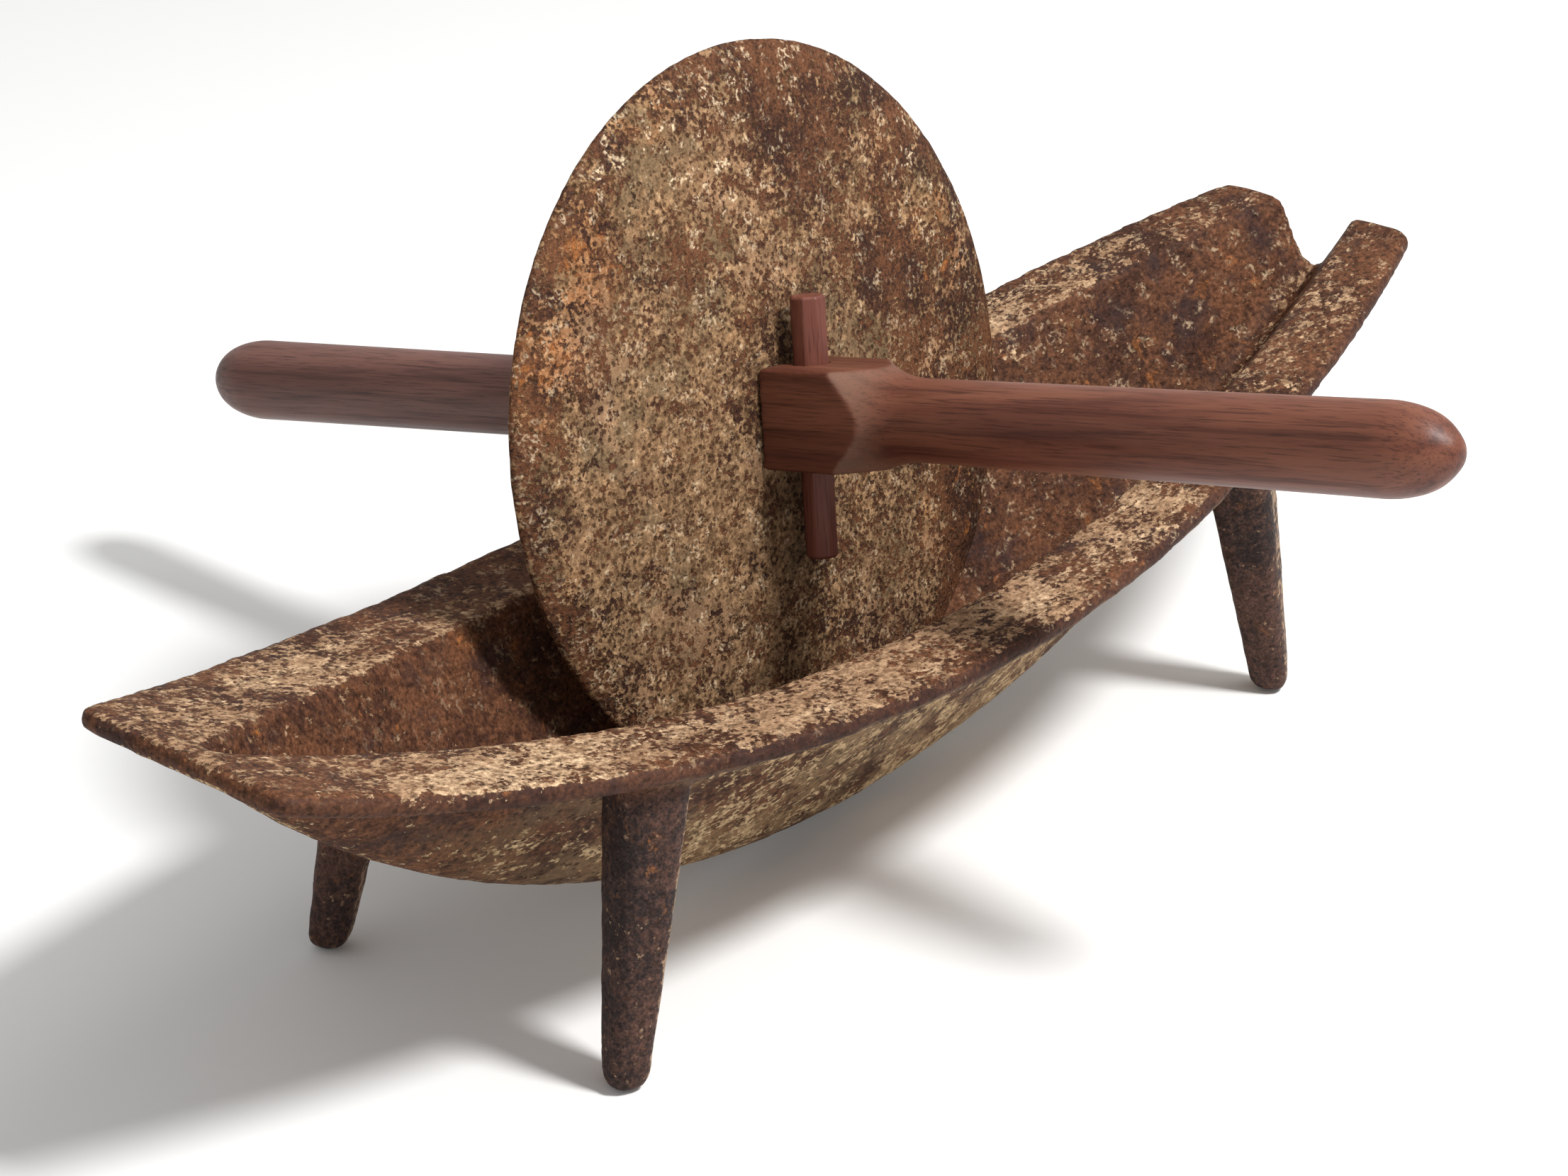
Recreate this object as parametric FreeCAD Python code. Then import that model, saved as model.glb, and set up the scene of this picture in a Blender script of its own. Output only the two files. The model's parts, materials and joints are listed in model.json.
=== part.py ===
import FreeCAD, Part
import math
import os
from FreeCAD import Vector, Placement, Rotation

# Rolling-wheel herb mill: a boat-shaped cast trough with a V groove on four legs, and a thin iron wheel
# that is rolled along the groove by a two-part wooden handle held together with a locking peg.
# Millimetres and degrees. +Z is up, the trough runs along X with its pouring notch at +X, the pegged half
# of the handle points to -Y, and the origin is on the floor midway between the four feet.

# Wheel
wheel_radius = 132.0
wheel_hub_radius = 30.0
wheel_hub_half = 11.5
wheel_bevel_radius = 120.0
wheel_bevel_half = 5.5
wheel_edge_half = 1.9
wheel_bore_radius = 10.06
wheel_bore_chamfer = 1.0
wheel_lean = 12.4
wheel_yaw = 1.1
wheel_foot_y = 2.0

# Trough rim: a boat-shaped plate, bent along its length and straight towards the open end
trough_half_length = 311.5
rim_mid_half_width = 95.8
rim_end_half_width = 44.9
rim_low_x = -26.0
rim_low_height = 104.4
rim_radius_closed_end = 925.0
rim_radius_open_end = 845.0
rim_straight_x = 119.0
rim_thickness = 7.5
rim_corner_radius = 9.0
rim_edge_radius = 2.8

# V groove: its bottom is one long arc that the wheel rolls on, with a tangent arc beyond each end of it
groove_half_angle = 35.0
groove_tip_radius = 7.0
groove_bottom_height = 20.9
groove_roll_radius = 462.0
groove_roll_reach = 158.0
groove_notch_height = 126.0
groove_runout_x = 299.5
roll_clearance = 1.0

# Outside of the hull: a V with a rounded keel, on one arc towards each end
keel_height = 6.0
keel_half_angle = 32.0
keel_tip_radius = 20.0
keel_radius_closed_end = 411.0
keel_radius_open_end = 483.0

# Legs, cast with the trough, splayed outwards and tapering to domed feet
leg_foot_x = 189.0
leg_foot_y = 69.0
leg_top_x = 164.0
leg_top_inset = 9.5
leg_top_height = 120.0
leg_foot_width = 14.0
leg_top_width = 28.0
leg_turn = 25.0
leg_dome_radius = 5.2
leg_corner_share = 0.3

# Handle: all stations are distances along the axle from the middle of the wheel
side_gap = 0.5
axle_radius = 10.0
tenon_end = 46.0
block_side = 36.2
block_edge_radius = 1.4
handle_roll = 9.1
shoulder_end = 72.0
shoulder_radius = 45.0
grip_radius_inner = 14.7
grip_radius_outer = 15.8
near_grip_length = 284.5
far_grip_length = 289.5
grip_dome_length = 27.0

# Locking peg: a tapered eight-sided peg across the block
peg_station = 21.5
peg_top = 42.3
peg_bottom = -51.7
peg_top_flats = 12.4
peg_bottom_flats = 11.0
peg_chamfer = 0.9
peg_clearance = 0.05

# Blanks and cutters, all larger than what they make or cut
blank_half_width = 150.0
blank_height = 200.0
blank_margin = 20.0
hull_depth = 160.0
cutter_height = 150.0
cutter_past_end = 4.0
keel_sweep = 56.0
peg_hole_reach = 40.0
cut_past_face = 1.0

groove_centre_z = groove_bottom_height + groove_roll_radius
block_inner_face = wheel_hub_half + side_gap
wheel_centre = Vector(
    0.0,
    wheel_foot_y + wheel_radius * math.sin(math.radians(wheel_lean)),
    groove_bottom_height + roll_clearance + wheel_radius * math.cos(math.radians(wheel_lean)),
)


def point_xz(x, z):
    return Vector(x, 0.0, z)


def v_profile(half_angle, tip_radius, height):
    """Face in the YZ plane: a V with a rounded tip that touches z = 0 and opens upwards."""
    angle = math.radians(half_angle)
    touch_y = tip_radius * math.cos(angle)
    touch_z = tip_radius * (1.0 - math.sin(angle))
    mouth_y = touch_y + (height - touch_z) * math.tan(angle)
    left_mouth, right_mouth = Vector(0, -mouth_y, height), Vector(0, mouth_y, height)
    left_touch, right_touch = Vector(0, -touch_y, touch_z), Vector(0, touch_y, touch_z)
    edges = [
        Part.LineSegment(left_mouth, left_touch).toShape(),
        Part.Arc(left_touch, Vector(0, 0, 0), right_touch).toShape(),
        Part.LineSegment(right_touch, right_mouth).toShape(),
        Part.LineSegment(right_mouth, left_mouth).toShape(),
    ]
    return Part.Face(Part.Wire(edges))


def swept_v(profile, centre, radius, start, end):
    """Carry the profile round an axis parallel to Y. Angles are from straight down, positive to +X."""
    section = profile.copy()
    section.translate(Vector(0, 0, centre.z - radius))
    section.translate(Vector(centre.x, 0, 0))
    section.rotate(centre, Vector(0, 1, 0), -start)
    return section.revolve(centre, Vector(0, 1, 0), -(end - start))


def end_arc(junction, tangent_angle, target):
    """Radius and end angle of the arc that leaves the junction along its tangent and meets the target."""
    chord = target - junction
    chord_angle = math.degrees(math.atan2(chord.z, chord.x))
    turn = chord_angle - tangent_angle
    return chord.Length / (2.0 * math.sin(math.radians(turn))), tangent_angle + 2.0 * turn


def rim_point(x, drop):
    """Point on the level that lies a drop below the rim's top surface, measured square to it."""
    radius = rim_radius_closed_end if x < rim_low_x else rim_radius_open_end
    centre = point_xz(rim_low_x, rim_low_height + radius)
    bend = math.asin((min(x, rim_straight_x) - rim_low_x) / radius)
    down = Vector(math.sin(bend), 0, -math.cos(bend))
    along = Vector(math.cos(bend), 0, math.sin(bend))
    straight = max(0.0, x - rim_straight_x) / math.cos(bend)
    return centre + down * (radius + drop) + along * straight


def make_groove_cutter():
    """The space of the V groove, from the closed end's run-out to beyond the pouring notch."""
    profile = v_profile(groove_half_angle, groove_tip_radius, cutter_height)
    centre = point_xz(0.0, groove_centre_z)
    reach = math.degrees(math.asin(groove_roll_reach / groove_roll_radius))
    junction_z = groove_centre_z - groove_roll_radius * math.cos(math.radians(reach))
    cutter = swept_v(profile, centre, groove_roll_radius, -reach, reach)
    ends = (
        (1.0, point_xz(trough_half_length, groove_notch_height)),
        (-1.0, point_xz(groove_runout_x, rim_point(-groove_runout_x, 0.0).z)),
    )
    for side, target in ends:
        junction = point_xz(groove_roll_reach, junction_z)
        radius, end = end_arc(junction, reach, target)
        towards = Vector(-math.sin(math.radians(reach)), 0, math.cos(math.radians(reach)))
        end_centre = junction + towards * radius
        end_centre.x *= side
        past_end = end + cutter_past_end
        piece = swept_v(profile, end_centre, radius, side * reach, side * past_end)
        cutter = cutter.fuse(piece)
    return cutter


def make_hull_outside():
    """The hull's outer V, solid right through, on its two keel arcs."""
    profile = v_profile(keel_half_angle, keel_tip_radius, blank_height)
    halves = []
    for side, radius in ((1.0, keel_radius_open_end), (-1.0, keel_radius_closed_end)):
        centre = point_xz(0.0, keel_height + radius)
        halves.append(swept_v(profile, centre, radius, 0.0, side * keel_sweep))
    return halves[0].fuse(halves[1])


def rim_line(drop, half_length):
    """Edges of one level of the rim, from the closed end to the open end."""
    closed_end = rim_point(-half_length, drop)
    closed_middle = rim_point(0.5 * (rim_low_x - half_length), drop)
    low = rim_point(rim_low_x, drop)
    open_middle = rim_point(0.5 * (rim_low_x + rim_straight_x), drop)
    bend_end = rim_point(rim_straight_x, drop)
    open_end = rim_point(half_length, drop)
    return [
        Part.Arc(closed_end, closed_middle, low).toShape(),
        Part.Arc(low, open_middle, bend_end).toShape(),
        Part.LineSegment(bend_end, open_end).toShape(),
    ], closed_end, open_end


def curved_layer(top_drop, bottom_drop, half_length, half_width):
    """Everything between two levels below the rim's top surface, following its curve."""
    top, top_closed, top_open = rim_line(top_drop, half_length)
    bottom, bottom_closed, bottom_open = rim_line(bottom_drop, half_length)
    edges = top + [Part.LineSegment(top_open, bottom_open).toShape()] + bottom
    edges.append(Part.LineSegment(bottom_closed, top_closed).toShape())
    face = Part.Face(Part.Wire(Part.__sortEdges__(edges)))
    face.translate(Vector(0, -half_width, 0))
    return face.extrude(Vector(0, 2.0 * half_width, 0))


def make_rim_plate():
    """Boat-shaped plate: two long sides, two short straight ends, rounded corners and edges."""
    corner_points = [Vector(side_x * trough_half_length, side_y * rim_end_half_width, 0)
                     for side_x, side_y in ((-1, -1), (1, -1), (1, 1), (-1, 1))]
    edges = [
        Part.Arc(corner_points[0], Vector(0, -rim_mid_half_width, 0), corner_points[1]).toShape(),
        Part.LineSegment(corner_points[1], corner_points[2]).toShape(),
        Part.Arc(corner_points[2], Vector(0, rim_mid_half_width, 0), corner_points[3]).toShape(),
        Part.LineSegment(corner_points[3], corner_points[0]).toShape(),
    ]
    outline = Part.Face(Part.Wire(edges)).extrude(Vector(0, 0, blank_height))
    corners = [edge for edge in outline.Edges if edge.BoundBox.ZLength > 0.99 * blank_height]
    outline = outline.makeFillet(rim_corner_radius, corners)
    layer = curved_layer(0.0, rim_thickness, trough_half_length + blank_margin, blank_half_width)
    plate = outline.common(layer)
    rounded = [edge for edge in plate.Edges if is_outer_edge(edge)]
    return plate.makeFillet(rim_edge_radius, rounded)


def is_outer_edge(edge):
    """True for the edges round the plate's outline, false for the seams across its faces."""
    first, last = edge.Vertexes[0].Point, edge.Vertexes[-1].Point
    upright = math.hypot(first.x - last.x, first.y - last.y) < 2.5 and abs(first.z - last.z) > 4.0
    across = abs(first.y + last.y) < 1.0 and abs(first.x) < trough_half_length - 1.0
    return not upright and not across


def make_trough():
    """Hull and rim plate in one casting, with the groove cut through."""
    below_rim = curved_layer(rim_thickness * 0.5, hull_depth, trough_half_length, blank_half_width)
    between_ends = Part.makeBox(2.0 * trough_half_length, 2.0 * blank_half_width, blank_height,
                                Vector(-trough_half_length, -blank_half_width, 0.0))
    hull = make_hull_outside().common(below_rim).common(between_ends)
    body = hull.fuse(make_rim_plate())
    return body.cut(make_groove_cutter()).removeSplitter()


def rounded_square(centre, width, turn):
    """Horizontal wire of a square with rounded corners, turned about its centre."""
    half = width / 2.0
    corner = width * leg_corner_share
    bow = corner * (1.0 - math.sqrt(0.5))
    edges = []
    for quarter in range(4):
        start = Vector(half, -half + corner, 0)
        end = Vector(half, half - corner, 0)
        middle = Vector(half - bow, half - bow, 0)
        after = Vector(half - corner, half, 0)
        spin = Rotation(Vector(0, 0, 1), 90.0 * quarter + turn)
        start, end, middle, after = [spin.multVec(p) + centre for p in (start, end, middle, after)]
        edges.append(Part.LineSegment(start, end).toShape())
        edges.append(Part.Arc(end, middle, after).toShape())
    return Part.Wire(edges)


def make_leg(side_x, side_y, trough):
    """One leg: a tapered post with a domed foot, ending against the hull and the rim's underside."""
    sections = []
    dome_steps = 4
    heights = [leg_dome_radius * (1.0 - math.cos(math.radians(90.0 * i / dome_steps)))
               for i in range(dome_steps + 1)]
    heights.append(leg_top_height)
    for height in heights:
        share = height / leg_top_height
        width = leg_foot_width + (leg_top_width - leg_foot_width) * share
        if height < leg_dome_radius:
            below = leg_dome_radius - height
            width -= 2.0 * (leg_dome_radius - math.sqrt(leg_dome_radius ** 2 - below ** 2))
        centre = Vector(
            side_x * (leg_foot_x + (leg_top_x - leg_foot_x) * share),
            side_y * (leg_foot_y - leg_top_inset * share),
            height,
        )
        sections.append(rounded_square(centre, width, -side_x * side_y * leg_turn))
    post = Part.makeLoft(sections, True, True)
    pieces = post.cut(trough).Solids
    return max(pieces, key=lambda piece: piece.Volume)


def lathe(points, arcs=()):
    """Turn a profile of (radius, station) points round the axle; arcs maps a point index to a midpoint."""
    vectors = [Vector(radius, 0, station) for radius, station in points]
    edges = []
    for index, start in enumerate(vectors):
        end = vectors[(index + 1) % len(vectors)]
        if index in arcs:
            radius, station = arcs[index]
            edges.append(Part.Arc(start, Vector(radius, 0, station), end).toShape())
        else:
            edges.append(Part.LineSegment(start, end).toShape())
    face = Part.Face(Part.Wire(edges))
    return face.revolve(Vector(0, 0, 0), Vector(0, 0, 1), 360.0)


def make_wheel():
    """Thin disc, thickest at the hub, with both faces bevelled to a narrow rounded edge."""
    chamfer = wheel_bore_chamfer
    half = [
        (wheel_bore_radius, wheel_hub_half - chamfer),
        (wheel_bore_radius + chamfer, wheel_hub_half),
        (wheel_hub_radius, wheel_hub_half),
        (wheel_bevel_radius, wheel_bevel_half),
        (wheel_radius - 0.7 * wheel_edge_half, wheel_edge_half),
    ]
    other = [(radius, -station) for radius, station in reversed(half)]
    return lathe(half + other, {4: (wheel_radius, 0.0)})


def grip_end(length, sign):
    """Edge of the grip's domed end, from its side to its tip on the axis."""
    dome_start = length - grip_dome_length
    steps = 2
    points = []
    for i in range(steps * 2 + 1):
        angle = math.radians(90.0 * i / (steps * 2))
        points.append(Vector(grip_radius_outer * math.cos(angle), 0,
                             sign * (dome_start + grip_dome_length * math.sin(angle))))
    spline = Part.BSplineCurve()
    spline.interpolate(Points=points, InitialTangent=Vector(0, 0, sign), FinalTangent=Vector(-1, 0, 0))
    return spline.toShape(), points[0], points[-1]


def make_far_handle(peg_hole):
    """Far grip, turned in one piece with the axle and the tenon that goes into the near half."""
    dome, side, tip = grip_end(far_grip_length, -1.0)
    shoulder = Vector(grip_radius_inner, 0, -block_inner_face)
    chamfer = 1.5
    line = [
        Vector(0, 0, tenon_end),
        Vector(axle_radius - chamfer, 0, tenon_end),
        Vector(axle_radius, 0, tenon_end - chamfer),
        Vector(axle_radius, 0, -block_inner_face),
        Vector(shoulder.x - chamfer, 0, shoulder.z),
        Vector(shoulder.x, 0, shoulder.z - chamfer),
        side,
    ]
    edges = [Part.LineSegment(a, b).toShape() for a, b in zip(line, line[1:])]
    edges.append(dome)
    edges.append(Part.LineSegment(tip, line[0]).toShape())
    turned = Part.Face(Part.Wire(edges)).revolve(Vector(0, 0, 0), Vector(0, 0, 1), 360.0)
    return turned.cut(peg_hole)


def make_near_handle(peg_hole):
    """Near half: a square block against the wheel, scooped down to a round grip, with a mortise."""
    dome, side, tip = grip_end(near_grip_length, 1.0)
    neck = Vector(grip_radius_inner, 0, shoulder_end)
    scoop_centre = Vector(neck.x + shoulder_radius, 0, neck.z)
    corner_radius = block_side * 0.75
    reach = math.sqrt(shoulder_radius ** 2 - (scoop_centre.x - corner_radius) ** 2)
    scoop_start = Vector(corner_radius, 0, neck.z - reach)
    half_way = 0.5 * math.atan2(reach, scoop_centre.x - corner_radius)
    scoop_middle = Vector(scoop_centre.x - shoulder_radius * math.cos(half_way), 0,
                          neck.z - shoulder_radius * math.sin(half_way))
    face_middle = Vector(0, 0, block_inner_face)
    face_corner = Vector(corner_radius, 0, block_inner_face)
    edges = [
        Part.LineSegment(face_middle, face_corner).toShape(),
        Part.LineSegment(face_corner, scoop_start).toShape(),
        Part.Arc(scoop_start, scoop_middle, neck).toShape(),
        Part.LineSegment(neck, side).toShape(),
        dome,
        Part.LineSegment(tip, face_middle).toShape(),
    ]
    turned = Part.Face(Part.Wire(edges)).revolve(Vector(0, 0, 0), Vector(0, 0, 1), 360.0)
    half = block_side / 2.0
    bar = Part.makeBox(block_side, block_side, near_grip_length, Vector(-half, -half, block_inner_face))
    bar = bar.makeFillet(block_edge_radius, [edge for edge in bar.Edges if edge.BoundBox.ZLength > 100.0])
    mortise = Part.makeCylinder(axle_radius, tenon_end - block_inner_face + cut_past_face,
                                Vector(0, 0, block_inner_face - cut_past_face))
    return bar.common(turned).cut(mortise).cut(peg_hole)


def octagon(flats, height):
    radius = flats / 2.0 / math.cos(math.radians(22.5))
    corners = []
    for i in range(9):
        angle = math.radians(22.5 + 45.0 * i)
        corners.append(Vector(radius * math.cos(angle), height, peg_station + radius * math.sin(angle)))
    return Part.makePolygon(corners)


def peg_flats(height):
    share = (height - peg_bottom) / (peg_top - peg_bottom)
    return peg_bottom_flats + (peg_top_flats - peg_bottom_flats) * share


def make_peg():
    """Eight-sided peg, wider at the top, with both ends chamfered."""
    heights = [peg_bottom, peg_bottom + peg_chamfer, peg_top - peg_chamfer, peg_top]
    trims = [2.0 * peg_chamfer, 0.0, 0.0, 2.0 * peg_chamfer]
    wires = [octagon(peg_flats(height) - trim, height) for height, trim in zip(heights, trims)]
    return Part.makeLoft(wires, True, True)


def make_peg_hole():
    ends = (-peg_hole_reach, peg_hole_reach)
    wires = [octagon(peg_flats(height) + 2.0 * peg_clearance, height) for height in ends]
    return Part.makeLoft(wires, True, True)


def place_on_axle(shape, roll):
    """Move a shape from the axle's own frame, where Z runs to the near grip, to its place in the groove."""
    turn = Rotation(Vector(0, 0, 1), wheel_yaw)
    turn = turn.multiply(Rotation(Vector(1, 0, 0), 90.0 - wheel_lean))
    turn = turn.multiply(Rotation(Vector(0, 0, 1), -roll))
    placed = shape.copy()
    placed.Placement = Placement(wheel_centre, turn)
    return placed


def main():
    os.makedirs("parts", exist_ok=True)
    trough = make_trough()
    peg_hole = make_peg_hole()
    nodes = {"trough": trough}
    for end_name, side_x in (("closed_end", -1.0), ("open_end", 1.0)):
        for side_name, side_y in (("near", -1.0), ("far", 1.0)):
            nodes["leg_%s_%s" % (end_name, side_name)] = make_leg(side_x, side_y, trough)
    nodes["grinding_wheel"] = place_on_axle(make_wheel(), 0.0)
    nodes["far_handle"] = place_on_axle(make_far_handle(peg_hole), handle_roll)
    nodes["near_handle"] = place_on_axle(make_near_handle(peg_hole), handle_roll)
    nodes["locking_peg"] = place_on_axle(make_peg(), handle_roll)
    for name, shape in nodes.items():
        if len(shape.Solids) == 1:
            shape = shape.Solids[0]
        box = shape.BoundBox
        print("%-22s solids %d valid %s volume %.0f  x %.1f..%.1f  y %.1f..%.1f  z %.1f..%.1f" % (
            name, len(shape.Solids), shape.isValid(), shape.Volume,
            box.XMin, box.XMax, box.YMin, box.YMax, box.ZMin, box.ZMax))
        shape.exportStep("parts/%s.step" % name)


main()
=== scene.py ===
import json
import math

import bmesh
import bpy
from mathutils import Matrix, Vector


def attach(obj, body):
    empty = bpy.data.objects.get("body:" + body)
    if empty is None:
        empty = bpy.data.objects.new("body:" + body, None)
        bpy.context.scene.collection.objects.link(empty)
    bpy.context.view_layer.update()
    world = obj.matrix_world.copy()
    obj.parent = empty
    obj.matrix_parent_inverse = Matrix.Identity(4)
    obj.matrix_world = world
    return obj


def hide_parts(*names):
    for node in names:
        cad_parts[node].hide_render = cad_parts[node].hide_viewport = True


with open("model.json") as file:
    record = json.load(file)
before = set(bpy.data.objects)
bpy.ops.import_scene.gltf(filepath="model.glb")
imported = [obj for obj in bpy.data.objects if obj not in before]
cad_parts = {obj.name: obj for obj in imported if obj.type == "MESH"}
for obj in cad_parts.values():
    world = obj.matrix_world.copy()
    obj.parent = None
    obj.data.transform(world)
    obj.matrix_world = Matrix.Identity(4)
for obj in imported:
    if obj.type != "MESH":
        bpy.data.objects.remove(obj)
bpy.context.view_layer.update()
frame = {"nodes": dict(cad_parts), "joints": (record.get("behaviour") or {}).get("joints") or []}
print("frame loaded:", sorted(frame["nodes"]))

scene = bpy.context.scene
joints = {joint["name"]: joint for joint in frame["joints"]}
wheelCentre = Vector(joints["wheel_spin"]["pos_m"])
towardsFar = Vector(joints["wheel_spin"]["axis"]).normalized()
pegUp = Vector(joints["peg_pull"]["axis"]).normalized()
millimetre = 0.001


# camera, floor and light

studio = {
    "cameraPlace": (-0.99934, -0.81047, 0.70723),
    "cameraLook": (0.69265, 0.57718, -0.43255),
    "cameraRoll": math.radians(0.39),
    "lens": 91.19,
    "sensor": 36,
    "nearest": 0.01,
    "farthest": 50,
    "floorColour": (0.9, 0.9, 0.89, 1),
    "floorRoughness": 0.9,
    "floorReach": 30,
    "worldStrength": 0.54,
    "keyPlace": (0.32, -1.2, 2.0),
    "keySize": 0.42,
    "keyPower": 53,
    "fillPlace": (1.0, -0.7, 2.1),
    "fillSize": 1.8,
    "fillPower": 11,
    "lightsLook": (0, 0, 0.1),
}


def aimAt(thing, place, target):
    thing.location = place
    thing.rotation_euler = (Vector(target) - Vector(place)).to_track_quat("-Z", "Y").to_euler()


def areaLight(name, place, size, power):
    lamp = bpy.data.lights.new(name, "AREA")
    lamp.shape = "DISK"
    lamp.size = size
    lamp.energy = power
    lampObject = bpy.data.objects.new(name, lamp)
    scene.collection.objects.link(lampObject)
    aimAt(lampObject, place, studio["lightsLook"])


def setUpStudio():
    camera = bpy.data.cameras.new("camera")
    camera.lens = studio["lens"]
    camera.sensor_width = studio["sensor"]
    camera.sensor_fit = "HORIZONTAL"
    camera.clip_start = studio["nearest"]
    camera.clip_end = studio["farthest"]
    look = Vector(studio["cameraLook"]).normalized()
    right = look.cross(Vector((0, 0, 1))).normalized()
    up = right.cross(look)
    roll = studio["cameraRoll"]
    tiltedRight = right * math.cos(roll) + up * math.sin(roll)
    tiltedUp = up * math.cos(roll) - right * math.sin(roll)
    turn = Matrix((tiltedRight, tiltedUp, -look)).transposed().to_4x4()
    cameraObject = bpy.data.objects.new("camera", camera)
    cameraObject.matrix_world = Matrix.Translation(studio["cameraPlace"]) @ turn
    scene.collection.objects.link(cameraObject)
    scene.camera = cameraObject

    areaLight("key light", studio["keyPlace"], studio["keySize"], studio["keyPower"])
    areaLight("fill light", studio["fillPlace"], studio["fillSize"], studio["fillPower"])
    world = bpy.data.worlds.new("studio")
    world.use_nodes = True
    background = world.node_tree.nodes["Background"].inputs
    background["Color"].default_value = (1, 1, 1, 1)
    background["Strength"].default_value = studio["worldStrength"]
    scene.world = world
    scene.view_settings.view_transform = "Standard"

    floorMesh = bpy.data.meshes.new("floor")
    reach = studio["floorReach"]
    corners = [(-reach, -reach, 0), (reach, -reach, 0), (reach, reach, 0), (-reach, reach, 0)]
    floorMesh.from_pydata(corners, [], [(0, 1, 2, 3)])
    floor = bpy.data.objects.new("floor", floorMesh)
    scene.collection.objects.link(floor)
    paper = bpy.data.materials.new("pale paper")
    paper.use_nodes = True
    shader = paper.node_tree.nodes["Principled BSDF"]
    shader.inputs["Base Color"].default_value = studio["floorColour"]
    shader.inputs["Roughness"].default_value = studio["floorRoughness"]
    floorMesh.materials.append(paper)
    print("studio ready")


setUpStudio()


# node helpers

def feed(tree, socket, value):
    if isinstance(value, bpy.types.NodeSocket):
        tree.links.new(value, socket)
    elif value is not None:
        socket.default_value = value


def addNode(tree, kind, inputs, **settings):
    made = tree.nodes.new(kind)
    for name, value in settings.items():
        setattr(made, name, value)
    for name, value in inputs.items():
        feed(tree, made.inputs[name], value)
    return made


def mathNode(tree, operation, a, b=None, clamp=False):
    made = addNode(tree, "ShaderNodeMath", {0: a, 1: b}, operation=operation, use_clamp=clamp)
    return made.outputs[0]


def plus(tree, a, b, clamp=False):
    return mathNode(tree, "ADD", a, b, clamp)


def minus(tree, a, b, clamp=False):
    return mathNode(tree, "SUBTRACT", a, b, clamp)


def times(tree, a, b, clamp=False):
    return mathNode(tree, "MULTIPLY", a, b, clamp)


def vectorMath(tree, operation, a, b=None):
    made = addNode(tree, "ShaderNodeVectorMath", {0: a, 1: b}, operation=operation)
    return made.outputs["Value" if operation == "LENGTH" else "Vector"]


def smoothStep(tree, value, low, high):
    made = addNode(tree, "ShaderNodeMapRange", {"Value": value, "From Min": low, "From Max": high},
                   interpolation_type="SMOOTHSTEP")
    return made.outputs["Result"]


def spread(tree, value, low, high, toLow, toHigh):
    made = addNode(tree, "ShaderNodeMapRange", {"Value": value, "From Min": low, "From Max": high,
                                                "To Min": toLow, "To Max": toHigh})
    return made.outputs["Result"]


def noise(tree, vector, scale, detail=3, roughness=0.55, distortion=0):
    made = addNode(tree, "ShaderNodeTexNoise", {"Vector": vector, "Scale": scale, "Detail": detail,
                                                "Roughness": roughness, "Distortion": distortion})
    return made.outputs["Fac"]


def blendColour(tree, share, first, second, blend="MIX"):
    made = addNode(tree, "ShaderNodeMix", {}, data_type="RGBA", blend_type=blend)
    feed(tree, made.inputs[0], share)
    feed(tree, made.inputs[6], first)
    feed(tree, made.inputs[7], second)
    return made.outputs[2]


def stretched(tree, vector, scale=(1, 1, 1), rotation=(0, 0, 0)):
    made = addNode(tree, "ShaderNodeMapping", {"Vector": vector, "Scale": scale, "Rotation": rotation})
    return made.outputs["Vector"]


def speckled(tree, vector, scale, colour, darkest, brightest):  # fine light and dark grit over a colour
    shade = spread(tree, noise(tree, vector, scale, 4, 0.72), 0.34, 0.66, darkest, brightest)
    return blendColour(tree, 1, colour, shade, "MULTIPLY")


def startGroup(name, inputs, outputs):
    group = bpy.data.node_groups.new(name, "ShaderNodeTree")
    for label, kind, value in inputs:
        socket = group.interface.new_socket(label, in_out="INPUT", socket_type=kind)
        if value is not None:
            socket.default_value = value
    for label, kind in outputs:
        group.interface.new_socket(label, in_out="OUTPUT", socket_type=kind)
    return group, group.nodes.new("NodeGroupInput").outputs, group.nodes.new("NodeGroupOutput").inputs


def useGroup(tree, group, inputs):
    return addNode(tree, "ShaderNodeGroup", inputs, node_tree=group).outputs


# shared effects

def buildSoftPatch():  # a blurred oval, to put a stain where it belongs
    group, given, made = startGroup(
        "Soft patch",
        [("Vector", "NodeSocketVector", None), ("Centre", "NodeSocketVector", (0, 0, 0)),
         ("Reach", "NodeSocketVector", (0.03, 0.03, 0.03))],
        [("Mask", "NodeSocketFloat")])
    away = vectorMath(group, "SUBTRACT", given["Vector"], given["Centre"])
    share = vectorMath(group, "LENGTH", vectorMath(group, "DIVIDE", away, given["Reach"]))
    feed(group, made["Mask"], smoothStep(group, share, 1.25, 0.35))
    return group


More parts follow.
